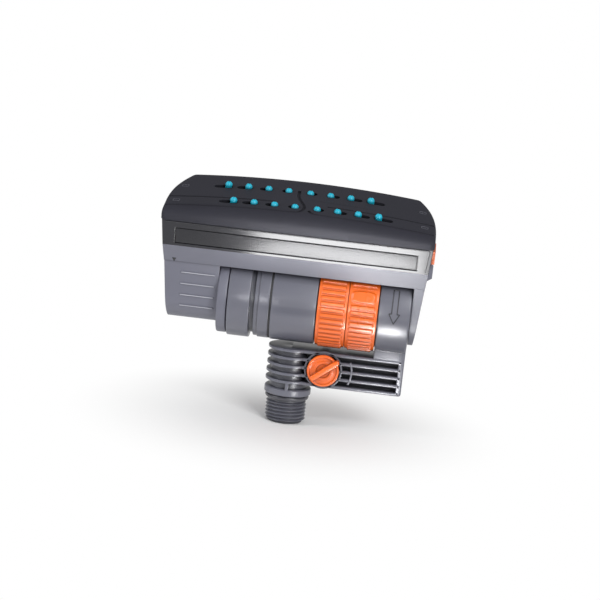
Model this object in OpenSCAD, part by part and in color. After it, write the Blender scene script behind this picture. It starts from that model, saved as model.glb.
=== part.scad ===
// Oscillating sprinkler: a fixed drive drum on a side-fed base, with a swinging spray head over it.
// X runs along the drum, -Y is the front, +Z is up. The origin is the centre of the inlet's open end.

/* [Inlet] */
// Outside radius of the thread crests
thread_r = 10.48; // [10:0.01:11]
// Length of the threaded end
thread_len = 12; // [9:0.1:15]
// Thread pitch
thread_pitch = 1.814; // [1.6:0.001:2.2]
// Depth of the thread
thread_depth = 1.1; // [0.6:0.01:1.3]
// Radius of the water bore in the inlet
inlet_bore_r = 6.8; // [5.5:0.1:7.5]
// Section diameter of the inlet seal
seal_d = 2.4; // [2:0.1:3]
// Radius of the stop flange above the seal
flange_r = 12.1; // [11.6:0.1:14]
// Thickness of the stop flange
flange_t = 4; // [3:0.1:6]
// Radius of the inlet pipe between its ring ribs
pipe_r = 9.6; // [9:0.1:10.4]
// Radius of the ring ribs on the pipe
pipe_rib_r = 12.1; // [11:0.1:13.5]
// Wall of the dirt filter
filter_t = 0.8; // [0.6:0.1:1.2]

/* [Base arm] */
// Distance from the inlet axis to the end of the arm
arm_len = 58.6; // [57:0.1:60]
// Depth of the arm, front to back
arm_d = 20; // [18:0.5:24]
// Clear height between the stop flange and the arm
arm_lift = 3; // [2:0.1:6]
// Thickness of each stiffening rib
rib_t = 1.7; // [1.2:0.1:2.2]
// Distance from one rib to the next
rib_pitch = 4.16; // [3.8:0.01:4.8]
// Number of ribs up the arm
rib_count = 5; // [5:1:6]
// Depth of the grooves between the ribs
groove_d = 3.8; // [2:0.1:4.4]
// Radius of the water channel in the arm
channel_r = 4.2; // [3:0.1:4.6]

/* [Flow valve] */
// Distance from the inlet axis to the valve
valve_x = 17.6; // [17:0.1:20]
// Radius of the valve plug
plug_r = 6.4; // [5.5:0.1:7]
// Radius of the knob
knob_r = 8.2; // [7.8:0.1:8.8]
// Thickness of the knob's disc
knob_t = 2.6; // [2:0.1:4]
// Height of the finger bar on the knob
bar_h = 3.2; // [2:0.1:5]
// Width of the finger bar
bar_w = 2.8; // [2:0.1:4]
// Angle of the finger bar from the arm's length
bar_angle = 38; // [0:1:90]

/* [Drive drum] */
// Outside radius of the drum
drum_r = 22.5; // [22:0.1:24]
// Clear height between the arm and the drum
drum_gap = 2.4; // [1.5:0.1:5]
// Radius of the drum's inside
drum_bore_r = 18.5; // [18.3:0.1:19]
// Left end of the gearbox cap
cap_x0 = -34.1; // [-36:0.1:-33.8]
// Joint between the gearbox cap and the drive housing
joint_x = -12.3; // [-13.5:0.1:-11]
// Shoulder where the setting rings start
shoulder_x = 11; // [9:0.1:13]
// Left face of the inlet chamber at the arm
chamber_x = 42.4; // [41.5:0.1:45]
// Thickness of the cap's end wall
cap_wall = 3; // [2.6:0.1:3.2]
// Radius of the seat under the setting rings
ring_seat_r = 20.4; // [20:0.1:20.8]
// Outside radius of the setting rings over their grip ribs
ring_r = 23.1; // [22.6:0.1:24]
// Height of the grip ribs
grip_h = 0.6; // [0.3:0.1:0.9]
// Number of grip ribs round a ring
grip_count = 50; // [30:2:60]
// Plain edge on each side of the grip ribs
grip_edge = 1.5; // [1:0.1:3]

/* [Gear train] */
// Gear module
gear_m = 0.58; // [0.5:0.01:0.6]
// Face width of the gears
gear_w = 2.5; // [1.5:0.1:2.8]
// Radius of the turbine wheel over its blades
turbine_r = 15; // [10:0.5:17]
// Length of the turbine wheel
turbine_len = 12; // [8:0.5:16]
// Number of turbine blades
blade_count = 10; // [6:1:14]
// Radius of the turbine shaft
shaft_r = 1.5; // [1.2:0.1:1.8]
// Radius of the gear pins
pin_r = 1.2; // [1:0.1:1.4]

/* [Spray head] */
// Forward tilt of the head as it stands
head_tilt = 13; // [0:1:30]
// Offset of the head's middle from the inlet axis
head_x = -2; // [-3:0.1:0]
// Height of the lid's crown over the drum axis
head_h = 53.6; // [52:0.1:56]
// Half length of the lid
head_half = 68.5; // [67:0.5:74]
// Reach of the head in front of the drum axis
head_front = 21; // [20.5:0.5:24]
// Reach of the head behind the drum axis
head_back = 28.5; // [26:0.5:30]
// Wall thickness of the head shell
wall = 2; // [1.6:0.1:2.4]
// Depth of the lid from its crown to its joint
lid_depth = 10.5; // [9.8:0.1:10.6]
// Height of the front panel under the lid
panel_h = 13.2; // [12.8:0.1:14]
// Height of the skirt that turns in under the panel
skirt_h = 9.9; // [8:0.1:12]
// Radius of the lid's crown along its length
crown_r = 600; // [500:50:900]
// Radius of the lid's rolled front and back edges
lid_roll = 6.5; // [3:0.5:7]
// Radius of the lid's back edge
back_roll = 1.5; // [1:0.1:3]
// Radius of the rounded rear corners in plan
end_arc_r = 88; // [80:1:100]
// Radius of the legs round the drum axis
leg_r = 16.5; // [14:0.5:18]
// Inner face of the left leg
leg_left_x = -39.7; // [-41:0.1:-38.5]
// Thickness of the cap over the right pivot
cap_t = 1.2; // [0.8:0.1:1.6]
// Radius of the swing pivots
pivot_r = 6; // [5:0.1:6.6]

/* [Nozzles] */
// Distance from one nozzle column to the next
nozzle_pitch = 10.3; // [9.8:0.1:11]
// Distance from the middle to the first nozzle column
nozzle_first = 5.55; // [5.2:0.05:7]
// Half the distance between the two nozzle rows
row_y = 10.7; // [9:0.1:11]
// Shift of the front row to the right and of the back row to the left
stagger = 2.55; // [0:0.05:3]
// Radius of a nozzle stem
stem_r = 1.75; // [1.4:0.05:1.8]
// Radius of the ball at a nozzle's foot
ball_r = 2.8; // [2.5:0.05:3]
// Depth of the nozzle pivots under the crown
pivot_depth = 14.6; // [14.2:0.1:14.8]
// Lean of each column beyond the one inside it, at full fan
lean_step = 5; // [3:0.5:5]
// Travel of the width slider
slider_travel = 4; // [3:0.1:4.2]

/* [Hidden] */
$fn = 96;

// Cut overlap, running clearance, sliding clearance and free clearance
eps = 0.05;
run = 0.05;
slide = 0.1;
free = 0.3;
far = 200;

// Colours of the mouldings
dark = "#3d3f46";
mid_grey = "#5c5e66";
orange = "#f4601c";
teal = "#16b4c6";
white = "#d9d9d4";
steel = "#b4b6ba";
black = "#1b1b1d";

// Heights up the base
flange_z = thread_len + seal_d + slide;
arm_z0 = flange_z + flange_t + arm_lift;
arm_z1 = arm_z0 + (rib_count - 1) * rib_pitch + rib_t;
arm_mid_z = (arm_z0 + arm_z1) / 2;
axis_z = arm_z1 + drum_gap + drum_r;
riser_x = (chamber_x + arm_len) / 2;

// Gear places: the layshafts stand one centre distance above and below the drum axis
pinion_teeth = 12;
wheel_teeth = 24;
open_teeth = 20;
lay = gear_m * (pinion_teeth + wheel_teeth) / 2;
tooth_gap = 0.4;
out_x = cap_x0 + cap_wall + 2 * tooth_gap;
plate_t = 2;
plate_left_x = out_x + gear_w + 3.2;
third_x = plate_left_x + plate_t + 2 * tooth_gap;
second_x = third_x + gear_w + 2 * tooth_gap;
first_x = second_x + gear_w + 2 * tooth_gap;
plate_right_x = first_x + gear_w + 2 * tooth_gap;
turbine_x = shoulder_x + 1.6;
guide_t = 3;
guide_x = chamber_x - 9.2;
flap_z = 8;

// Heights and depths in the head, taken from the lid's crown downwards
rim_z = head_h - lid_depth;
panel_z = rim_z - panel_h;
skirt_z = panel_z - skirt_h;
front_in = head_front - wall;
back_out = head_back - 1;
back_in = back_out - wall;
end_arc_x = head_half - end_arc_r;
end_arc_y = -10;
end_draft = 4.5;
skirt_slope = 20;
rim_w = 4.2;
cover_in = 1.1;
shell_inset = 1.5;
shell_half = head_half - 0.6;
pivot_z = head_h - pivot_depth;
manifold_top = pivot_z + 2;
manifold_z = pivot_z - 8;
cover_t = 2;
gasket_t = 0.8;
fan_t = 1.5;
fan_z = manifold_top + 2.2 + slide;
fan_front = row_y + slider_travel + 3.9;
fan_back = row_y + 3.2;
fan_lever = fan_z + fan_t / 2 - pivot_z;
lid_in_z = rim_z + 3.5;
end_wall = 4.6;
tab_z0 = rim_z - 11.1;
tab_h = 6.8;
stem_h = 2;
slider_y = -6;
insert_t = 0.8;
insert_half = head_half - 7.5;
insert_z0 = panel_z + 1.3;
insert_z1 = rim_z - 3.6;
leg_out_x = head_x + shell_half - rim_z * tan(end_draft);
leg_in_x = head_x - shell_half + end_wall + 3;
leg_room = leg_left_x - leg_in_x;
elbow_r = leg_room * 0.354;
elbow_bore_r = elbow_r / 2;
riser_in_x = leg_left_x - leg_room * 0.442;
pin_end_x = max(arm_len + free + 0.5, leg_out_x + 0.2 - cap_t - slide);
nozzle_end = nozzle_first + 3 * nozzle_pitch + stagger;
fan_x = nozzle_end + 2 * ball_r + 1;
manifold_left = head_x - riser_in_x + elbow_bore_r + 3.2;
manifold_right = nozzle_end + 2 * ball_r + 2;

// Nozzles count from 1 at the left to 8 at the right, in a back row (1) and a front row (-1).
// Each half leans outwards, and a nozzle further out leans more.
places = [for (row = [1, -1], i = [1 : 8]) [row, i]];
function side(i) = i < 5 ? -1 : 1;
function rank(i) = i < 5 ? 5 - i : i - 4;
function nozzle_x(row, i) = side(i) * (nozzle_first + (rank(i) - 1) * nozzle_pitch) - row * stagger;
function lean(i) = lean_step * rank(i);

// Places a part on the drum axis
module on_axis() { translate([0, 0, axis_z]) children(); }
// Places a part of the swinging head
module on_head() { on_axis() rotate([head_tilt, 0, 0]) children(); }
// Places a part about the head's own middle
module in_head() { on_head() translate([head_x, 0, 0]) children(); }

// Round bar along X, Y
module rod_x(r, x0, x1) { translate([x0, 0, 0]) rotate([0, 90, 0]) cylinder(r = r, h = x1 - x0); }
module rod_y(r, y0, y1) { translate([0, y0, 0]) rotate([-90, 0, 0]) cylinder(r = r, h = y1 - y0); }
module tube_x(ro, ri, x0, x1) {
  difference() {
    rod_x(ro, x0, x1);
    rod_x(ri, x0 - eps, x1 + eps);
  }
}
// Block between two corners
module block(a, b) { translate(a) cube(b - a); }
// Ring of round section about Z
module ring_z(r, d) { rotate_extrude() translate([r, 0]) circle(d = d, $fn = 32); }

// Spur gear outline: straight-sided teeth, with play at the flanks
function gear_outline(teeth) = [
  for (i = [0 : teeth - 1])
    for (p = [[-0.24, -1.1], [-0.11, 0.8], [0.11, 0.8], [0.24, -1.1]])
      let (a = (i + p[0]) * 360 / teeth, r = gear_m * (teeth / 2 + p[1]))
        [r * cos(a), r * sin(a)]
];
// Gear along X, with a tooth turned to angle a from +Y towards +Z
module gear_x(teeth, x, a, bore) {
  translate([x, 0, 0]) rotate([90, 0, 90]) difference() {
    linear_extrude(gear_w) rotate(a) polygon(gear_outline(teeth));
    translate([0, 0, -eps]) cylinder(r = bore, h = gear_w + 2 * eps);
  }
}

// Base moulding: threaded inlet pipe, ribbed arm and the chamber that feeds the drum
module inlet_base() {
  color(mid_grey) difference() {
    union() {
      inlet_thread();
      translate([0, 0, thread_len]) cylinder(r = thread_r - thread_depth, h = seal_d + slide + eps);
      translate([0, 0, flange_z]) cylinder(r = flange_r, h = flange_t);
      translate([0, 0, flange_z]) cylinder(r = pipe_r, h = arm_z1 - flange_z);
      for (i = [0 : rib_count - 1])
        translate([0, 0, arm_z0 + i * rib_pitch]) cylinder(r = pipe_rib_r, h = rib_t);
      arm();
      block([chamber_x, -arm_d / 2, arm_z1 - eps], [arm_len, arm_d / 2, axis_z - drum_r / 2]);
      on_axis() rod_x(drum_r, chamber_x, arm_len);
      on_axis() rod_x(pivot_r, arm_len - eps, pin_end_x);
    }
    water_way();
    translate([valve_x, 0, arm_mid_z]) rod_y(plug_r + run, -arm_d, arm_d / 2 - 2);
  }
}
// Thread crests over a plain root, each a ring with sloping flanks
module inlet_thread() {
  root = thread_r - thread_depth;
  land = thread_pitch * 0.16;
  foot = thread_pitch * 0.44;
  turns = floor((thread_len - land - foot) / thread_pitch);
  cylinder(r = root, h = thread_len);
  for (i = [0 : turns]) translate([0, 0, land + i * thread_pitch]) rotate_extrude()
    crest(root, i == 0 ? land : foot, land, foot);
}
module crest(root, low, land, high) {
  polygon([[root - 1, -low], [root, -low], [thread_r, -land], [thread_r, land], [root, high], [root - 1, high]]);
}
// Arm with rib grooves front and back, left whole round the valve
module arm() {
  groove_h = rib_pitch - rib_t;
  boss = knob_r + 1;
  difference() {
    block([0, -arm_d / 2, arm_z0], [arm_len, arm_d / 2, arm_z1]);
    for (i = [0 : rib_count - 2], s = [-1, 1], span = [[pipe_r, valve_x], [valve_x, arm_len - 2]]) {
      z = arm_z0 + rib_t + i * rib_pitch;
      y = s * (arm_d / 2 - groove_d / 2);
      block([span[0], y - groove_d / 2 - (s < 0 ? eps : 0), z],
            [span[1], y + groove_d / 2 + (s > 0 ? eps : 0), z + groove_h]);
    }
  }
  intersection() {
    translate([valve_x, 0, arm_mid_z]) rod_y(boss, -arm_d / 2, arm_d / 2);
    block([0, -arm_d, arm_z0 - 1], [far, arm_d, arm_z1]);
  }
}
// Water way from the inlet, along the arm and up into the chamber
module water_way() {
  translate([0, 0, -eps]) cylinder(r = inlet_bore_r, h = arm_mid_z + channel_r - 2 + eps);
  translate([0, 0, arm_mid_z]) rod_x(channel_r, 0, riser_x);
  translate([riser_x, 0, arm_mid_z]) cylinder(r = channel_r, h = axis_z - arm_mid_z);
  on_axis() rod_x(drum_bore_r, chamber_x - eps, arm_len - 3);
}

module inlet_seal() {
  groove_r = thread_r - thread_depth;
  color(black) translate([0, 0, thread_len + seal_d / 2 + slide / 2]) ring_z(groove_r + seal_d / 2 + slide, seal_d);
}

// Dirt filter: a cup in the inlet bore with rows of slots
module inlet_filter() {
  r = inlet_bore_r - slide;
  h = 14;
  color(white) difference() {
    translate([0, 0, 0.6]) cylinder(r = r, h = h);
    translate([0, 0, 0]) cylinder(r = r - filter_t, h = h - filter_t + 0.6);
    for (i = [0 : 3], a = [0, 60, 120])
      translate([0, 0, 3.2 + i * 2.8]) rotate(a) cube([4 * r, 2.4, 1.4], center = true);
  }
}

// Knob with its finger bar, turned about Y
module flow_knob() {
  y0 = -arm_d / 2 - slide;
  color(orange) translate([valve_x, 0, arm_mid_z]) {
    rod_y(knob_r, y0 - knob_t, y0);
    rotate([0, -bar_angle, 0]) {
      block([-knob_r + 1.4, y0 - knob_t - bar_h, -bar_w / 2], [knob_r, y0 - knob_t + eps, bar_w / 2]);
      block([knob_r - 2, y0 - knob_t - bar_h, -bar_w / 2], [knob_r + 1.6, y0 - 0.4, bar_w / 2]);
    }
  }
}

module valve_plug() {
  y0 = -arm_d / 2 - slide;
  y1 = arm_d / 2 - 2 - slide;
  color(white) translate([valve_x, 0, arm_mid_z]) difference() {
    rod_y(plug_r, y0, y1);
    rotate([0, -bar_angle, 0]) rod_x(channel_r, -far, far);
    rotate([90, 0, 0]) translate([0, 0, -y0 - 3.6]) difference() {
      cylinder(r = plug_r + 1, h = 1.6);
      translate([0, 0, -eps]) cylinder(r = plug_r - 1, h = 2);
    }
  }
}
module valve_seal() {
  y = -arm_d / 2 - slide + 2.8;
  color(black) translate([valve_x, y, arm_mid_z]) rotate([90, 0, 0]) difference() {
    cylinder(r = plug_r, h = 1.3, center = true);
    cylinder(r = plug_r - 1 + 0.02, h = 3, center = true);
  }
}

// Middle of the drum, stepped down where the setting rings turn
module drive_housing() {
  color(mid_grey) on_axis() difference() {
    union() {
      rod_x(drum_r, joint_x + 0.5, shoulder_x);
      rod_x(ring_seat_r, shoulder_x - eps, chamber_x);
    }
    rod_x(drum_bore_r, joint_x - 1, chamber_x + 1);
  }
}
module housing_seal() {
  color(black) on_axis() tube_x(drum_r - 0.4, drum_bore_r + 1, joint_x - 0.5, joint_x + 0.5);
}
// Left end of the drum: bands of several sizes and a bearing wall
module gearbox_cap() {
  band = cap_x0 + 11.4;
  waist = band + 2.1;
  step = waist + 2.2;
  color(mid_grey) on_axis() difference() {
    union() {
      rod_x(drum_r + 0.4, cap_x0, band);
      rod_x(drum_r - 2.4, band - eps, waist);
      rod_x(drum_r - 0.9, waist - eps, step);
      rod_x(drum_r - 0.3, step - eps, joint_x - 0.5);
    }
    rod_x(drum_bore_r, cap_x0 + cap_wall, joint_x + 1);
    rod_x(pivot_r + run, cap_x0 - 1, cap_x0 + cap_wall + 1);
    translate([0, 0, -lay]) rod_x(pin_r + run, cap_x0 + 1.2, cap_x0 + cap_wall + 1);
  }
}

// Bearing plates of the gear train
module gear_plate_left() {
  color(white) on_axis() difference() {
    rod_x(drum_bore_r - slide, plate_left_x, plate_left_x + plate_t);
    for (z = [-lay, 0, lay]) translate([0, 0, z]) rod_x(pin_r + run, plate_left_x - 1, plate_left_x + plate_t + 1);
    for (s = [-1, 1]) translate([0, s * lay, 0]) rod_x(3, plate_left_x - 1, plate_left_x + plate_t + 1);
  }
}
module gear_plate_right() {
  color(white) on_axis() difference() {
    rod_x(drum_bore_r - slide, plate_right_x, plate_right_x + plate_t);
    rod_x(shaft_r + run, plate_right_x - 1, plate_right_x + plate_t + 1);
    translate([0, 0, lay]) rod_x(pin_r + run, plate_right_x - 1, plate_right_x + plate_t + 1);
    for (s = [-1, 1]) translate([0, s * lay, 0]) rod_x(3, plate_right_x - 1, plate_right_x + plate_t + 1);
  }
}
module gear_pins() {
  color(steel) on_axis() {
    translate([0, 0, lay]) rod_x(pin_r, plate_left_x, plate_right_x + plate_t);
    rod_x(pin_r, plate_left_x, first_x - tooth_gap);
  }
}
// Plate with slanting jets that turn the turbine
module turbine_guide() {
  color(white) on_axis() difference() {
    rod_x(drum_bore_r - slide, guide_x, guide_x + guide_t);
    rod_x(shaft_r + run, guide_x - 1, guide_x + guide_t + 1);
    translate([0, 0, flap_z]) rod_x(pin_r + run, guide_x + 1, guide_x + guide_t + 1);
    for (i = [0 : 5]) rotate([i * 60 + 30, 0, 0]) translate([0, 0, 12.5]) rod_x(2, guide_x - 1, guide_x + guide_t + 1);
  }
}
module turbine_wheel() {
  x1 = turbine_x + turbine_len;
  color(white) on_axis() difference() {
    union() {
      rod_x(4, turbine_x, x1);
      for (i = [0 : blade_count - 1]) rotate([i * 360 / blade_count, 0, 0])
        block([turbine_x + 0.4, -0.5, 3], [x1 - 0.4, 0.5, turbine_r]);
    }
    rod_x(shaft_r + 0.01, turbine_x - 1, x1 + 1);
  }
}
module turbine_shaft() {
  color(steel) on_axis() {
    rod_x(shaft_r, first_x, guide_x + guide_t);
    gear_x(pinion_teeth, first_x, 0, shaft_r - eps);
  }
}
// Gears run on the pins: each has a wheel and a pinion side by side
module first_gear() {
  half = 180 / wheel_teeth;
  color(white) on_axis() translate([0, 0, lay]) {
    gear_x(wheel_teeth, first_x, half, pin_r + run);
    tube_x(pin_r + 1, pin_r + run, second_x + gear_w - eps, first_x + eps);
    gear_x(pinion_teeth, second_x, 0, pin_r + run);
  }
}
module second_gear() {
  half = 180 / wheel_teeth;
  color(white) on_axis() {
    gear_x(wheel_teeth, second_x, half, pin_r + run);
    tube_x(pin_r + 1, pin_r + run, third_x + gear_w - eps, second_x + eps);
    gear_x(pinion_teeth, third_x, 0, pin_r + run);
  }
}
// Last layshaft, below the drum axis, which drives the head's gear
module output_pinion() {
  color(white) on_axis() translate([0, 0, -lay]) {
    rod_x(pin_r, cap_x0 + 1.5, third_x + gear_w);
    gear_x(pinion_teeth, out_x, 0, pin_r - eps);
    gear_x(open_teeth, third_x, 0, pin_r - eps);
  }
}
module output_gear() {
  half = 180 / wheel_teeth;
  color(white) on_axis() gear_x(wheel_teeth, out_x, half, pivot_r + 0.02);
}
// Flap in front of the jets: it sends the water to one side of the turbine or the other
module reversing_flap() {
  color(white) on_axis() translate([0, 0, flap_z]) {
    rod_x(pin_r, guide_x + 1.4, chamber_x - 1);
    block([guide_x + guide_t + 0.6, -0.8, -flap_z + 1], [chamber_x - 1.6, 0.8, 0]);
  }
}

// Setting rings: grip ribs between plain edges, with one bare pad on the right-hand ring
function grip_outline(bare) = [
  for (i = [0 : grip_count - 1])
    let (lift = i < bare ? 0 : grip_h)
      for (p = [[-0.3, 0], [-0.14, 1], [0.14, 1], [0.3, 0]])
        let (a = (i + p[0]) * 360 / grip_count, r = ring_r - grip_h + p[1] * lift)
          [r * cos(a), r * sin(a)]
];
module sector_ring(x0, x1, bare) {
  pad_angle = (bare - 1) * 180 / grip_count;
  pad_w = x1 - x0 - 2 * grip_edge;
  difference() {
    union() {
      rod_x(ring_r - grip_h, x0, x1);
      translate([x0 + grip_edge, 0, 0]) rotate([90, 0, 90]) rotate(180 - 21 - pad_angle)
        linear_extrude(pad_w) polygon(grip_outline(bare));
      if (bare > 0) rotate([-21, 0, 0])
        block([x0 + grip_edge + 0.5, -ring_r - 0.2, -2.6], [x1 - grip_edge - 0.5, -ring_seat_r - 0.5, 2.6]);
    }
    rod_x(ring_seat_r + run, x0 - 1, x1 + 1);
  }
}
ring_w = (chamber_x - shoulder_x - 3 * slide) / 2;
module sector_ring_left() {
  color(orange) on_axis() sector_ring(shoulder_x + slide, shoulder_x + slide + ring_w, 0);
}
module sector_ring_right() {
  color(orange) on_axis() sector_ring(chamber_x - slide - ring_w, chamber_x - slide, 4);
}

// Plan of the head: straight in front, with the ends drawn round to a shorter back
module head_plan(half, front, back, inset) {
  intersection() {
    translate([-half, -front]) square([2 * half, front + back]);
    end_limit(1, inset);
    end_limit(-1, inset);
  }
}
// All that lies inside one rounded end; in front of end_arc_y the end is straight
module end_limit(s, inset) {
  translate([-far, -far]) square([2 * far, far + end_arc_y]);
  translate([s * end_arc_x, end_arc_y]) circle(r = end_arc_r - inset);
  translate([s > 0 ? end_arc_x - 2 * far : -end_arc_x, -far]) square([2 * far, 2 * far]);
}
// Side view of the head's legs: round below the drum axis, straight above it
module leg_side(r) {
  circle(r = r);
  translate([-r, 0]) square([2 * r, panel_z]);
}
module leg(x0, x1, r) {
  translate([x0, 0, 0]) rotate([90, 0, 90]) linear_extrude(x1 - x0) leg_side(r);
}
// Wedge that gives each end of the head its draft
module end_cut(s) {
  mirror([s < 0 ? 1 : 0, 0, 0]) translate([shell_half, 0, rim_z]) rotate([0, end_draft, 0])
    block([0, -far, -far], [far, far, far]);
}
module head_shell() {
  leg_x = arm_len + free;
  color(dark) on_head() {
    head_body(leg_x);
    end_boss();
  }
}
module head_body(leg_x) {
  difference() {
    union() {
      translate([head_x, 0, skirt_z]) linear_extrude(rim_z - skirt_z)
        head_plan(shell_half, head_front, back_out, shell_inset);
      leg(head_x - shell_half, leg_left_x, leg_r);
      leg(leg_x, head_x + shell_half, leg_r + 0.8);
      grip_lines();
    }
    translate([head_x, 0, 0]) {
      end_cut(1);
      end_cut(-1);
      insert_recess(0);
      slider_slot();
    }
    skirt_bevel(0);
    head_cavity(leg_x);
    leg(leg_in_x, leg_left_x + 1, leg_r - wall);
    rod_x(drum_r + 1.2, leg_left_x, leg_x);
    rod_x(pivot_r + run, leg_x - 1, far);
  }
}
// Domed boss on the right end, under the width slider
module end_boss() {
  z = tab_z0 - 6.5;
  x = shell_half - (rim_z - z) * tan(end_draft);
  translate([head_x + x - 2, slider_y, z]) rotate([0, 90, 0]) cylinder(r1 = 6.4, r2 = 3.4, h = 4.6);
}
// Four raised lines on the left leg: three up its flat front and one round its foot
module grip_lines() {
  step = 6.2;
  low = [head_x - shell_half + 10.9, -leg_r - 0.4, -0.4];
  high = [leg_left_x - 2, -leg_r + 1, 0.4];
  for (i = [0 : 2]) translate([0, 0, 1.6 + i * step]) block(low, high);
  rotate([15.5, 0, 0]) block(low, high);
}
// Room for the water box, down to a floor over the legs and open between them
module head_cavity(leg_x) {
  difference() {
    union() {
      translate([head_x, 0, skirt_z + wall]) linear_extrude(rim_z - skirt_z)
        head_plan(shell_half - end_wall, front_in, back_in, shell_inset + wall);
      block([leg_left_x, -front_in, skirt_z - 1], [leg_x, back_in, skirt_z + wall + 1]);
    }
    skirt_bevel(wall / cos(skirt_slope));
  }
}
// The panels turn inwards at their lower edge; inset gives the inner side of the wall
module skirt_bevel(inset) {
  drop = (panel_z - skirt_z) / cos(skirt_slope) + 0.4 + 3 * inset;
  translate([0, inset - head_front, panel_z]) rotate([skirt_slope, 0, 0])
    block([-far, -10, -drop], [far, 0, 1]);
  translate([0, back_out - inset, panel_z]) rotate([-skirt_slope, 0, 0])
    block([-far, 0, -drop], [far, 10, 1]);
}
// Way through the right end for the width slider's stem
module slider_slot() {
  gap = 1.5 + free;
  block([shell_half - end_wall - 4, slider_y - gap, tab_z0 + 2 - free],
        [far, slider_y + slider_travel + gap, tab_z0 + 2 + stem_h + free]);
}
module insert_recess(gap) {
  block([-insert_half + gap, -head_front - 1, insert_z0 + gap],
        [insert_half - gap, -head_front + insert_t - gap, insert_z1 - gap]);
}
module front_insert() {
  color(dark) in_head() intersection() {
    insert_recess(0.12);
    block([-far, -head_front, 0], [far, 0, far]);
  }
}

// Lid: crowned along its length, with rolled long edges and a slot for each nozzle
module nozzle_lid() {
  color(dark) in_head() difference() {
    intersection() {
      translate([0, 0, rim_z]) linear_extrude(20) head_plan(head_half, head_front + 1, head_back, 0);
      translate([-far / 2, 0, 0]) rotate([90, 0, 90]) linear_extrude(far) lid_side();
      translate([0, 0, head_h - crown_r]) rod_y_fine(crown_r);
    }
    translate([0, 0, rim_z - 1]) linear_extrude(lid_in_z - rim_z + 1)
      head_plan(shell_half - end_wall - 2, front_in - slide, back_in - 1, shell_inset + wall + 2);
    for (p = places) lid_slot(p[0], p[1]);
    lid_grooves();
  }
}
module rod_y_fine(r) { rotate([90, 0, 0]) cylinder(r = r, h = far, center = true, $fn = 900); }
module lid_side() {
  y0 = -head_front - 1;
  z1 = head_h - lid_roll;
  y1 = head_back - back_roll;
  translate([y0, rim_z]) square([head_back - y0, z1 - rim_z]);
  translate([y0 + lid_roll, rim_z]) square([y1 - y0 - lid_roll, head_h + 1 - rim_z]);
  translate([y0 + lid_roll, rim_z]) square([head_back - y0 - lid_roll, head_h - back_roll - rim_z]);
  translate([y0 + lid_roll, z1]) circle(r = lid_roll);
  translate([y1, head_h - back_roll]) circle(r = back_roll);
}
module lid_slot(row, i) {
  r = stem_r + free;
  x0 = nozzle_x(row, i);
  x1 = x0 + side(i) * (pivot_depth * tan(lean(i)) + 0.2);
  translate([0, row * row_y, lid_in_z - 1]) {
    for (x = [x0, x1]) translate([x, 0, 0]) cylinder(r = r, h = 20);
    block([min(x0, x1), -r, 0], [max(x0, x1), r, 20]);
  }
}
// Shallow lines that frame the front row of nozzles
module lid_grooves() {
  depth = 0.5;
  w = 0.6;
  for (s = [-1, 1], y = [0, -16]) {
    near = y < -1 ? 5 : 15;
    intersection() {
      block([s < 0 ? -far : near, y - w / 2, rim_z], [s < 0 ? -near : far, y + w / 2, far]);
      difference() {
        block([-far, -far, rim_z], [far, far, far]);
        translate([0, 0, head_h - depth - crown_r]) rod_y_fine(crown_r);
      }
    }
  }
}

// Water box under the lid: the nozzle balls sit in its roof
module manifold() {
  color(white) in_head() difference() {
    union() {
      block([-manifold_left, -front_in + slide, manifold_z], [manifold_right, back_in - slide, manifold_top]);
      block([-fan_x, -2.4, manifold_top - eps], [fan_x, 2.4, fan_z - slide]);
    }
    block([3 - manifold_left, rim_w - front_in, manifold_z - 1], [manifold_right - 3, back_in - rim_w, pivot_z - 2]);
    for (p = places) translate([nozzle_x(p[0], p[1]), p[0] * row_y, pivot_z - 3]) cylinder(r = ball_r + run, h = 8);
    manifold_holes(0.85, manifold_z - 1, 6);
  }
}
module manifold_gasket() {
  z1 = manifold_z;
  color(black) in_head() difference() {
    block([-manifold_left, -front_in + slide, z1 - gasket_t], [manifold_right, back_in - slide, z1]);
    block([3 - manifold_left, rim_w - front_in, z1 - 2], [manifold_right - 3, back_in - rim_w, z1 + 1]);
    manifold_holes(1, z1 - 2, 4);
  }
}
module manifold_cover() {
  z1 = manifold_z - gasket_t;
  color(mid_grey) in_head() difference() {
    block([-manifold_left, cover_in - front_in, z1 - cover_t], [manifold_right, back_in - cover_in, z1]);
    translate([riser_in_x - head_x, 0, z1 - 5]) cylinder(r = elbow_bore_r, h = 8);
    manifold_holes(1.2, z1 - 5, 8);
  }
}
// Screw places round the manifold's rim
module screw_places() {
  mid_y = (back_in - front_in) / 2;
  reach = (back_in + front_in) / 2 - 3;
  edge = 1.7;
  step = (manifold_left + manifold_right - 2 * edge) / 3;
  for (i = [0 : 3], s = [-1, 1])
    translate([edge - manifold_left + i * step, mid_y + s * reach, 0]) children();
}
module manifold_holes(r, z, h) { screw_places() translate([0, 0, z]) cylinder(r = r, h = h, $fn = 32); }
module manifold_screws() {
  z = manifold_z - gasket_t - cover_t;
  color(steel) in_head() screw_places() translate([0, 0, z]) {
    difference() {
      translate([0, 0, -1.2]) cylinder(r = 1.6, h = 1.2, $fn = 32);
      translate([0, 0, -1.2]) cube([0.5, 4, 1], center = true);
      translate([0, 0, -1.2]) cube([4, 0.5, 1], center = true);
    }
    translate([0, 0, -eps]) cylinder(r = 0.83, h = gasket_t + cover_t + 4, $fn = 32);
  }
}
// Elbow in the left leg: it swings in the gearbox cap and feeds the manifold
module feed_elbow() {
  x1 = out_x + gear_w + 0.8;
  top = manifold_z - gasket_t - cover_t;
  color(white) on_head() difference() {
    union() {
      rod_x(pivot_r, riser_in_x, x1);
      rod_x(elbow_r, riser_in_x - elbow_r + 1, leg_left_x - 1);
      translate([riser_in_x, 0, 0]) cylinder(r = elbow_r - 1, h = top);
    }
    rod_x(elbow_bore_r, riser_in_x, x1 + 1);
    translate([riser_in_x, 0, 0]) cylinder(r = elbow_bore_r, h = top + 1);
  }
}
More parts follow.
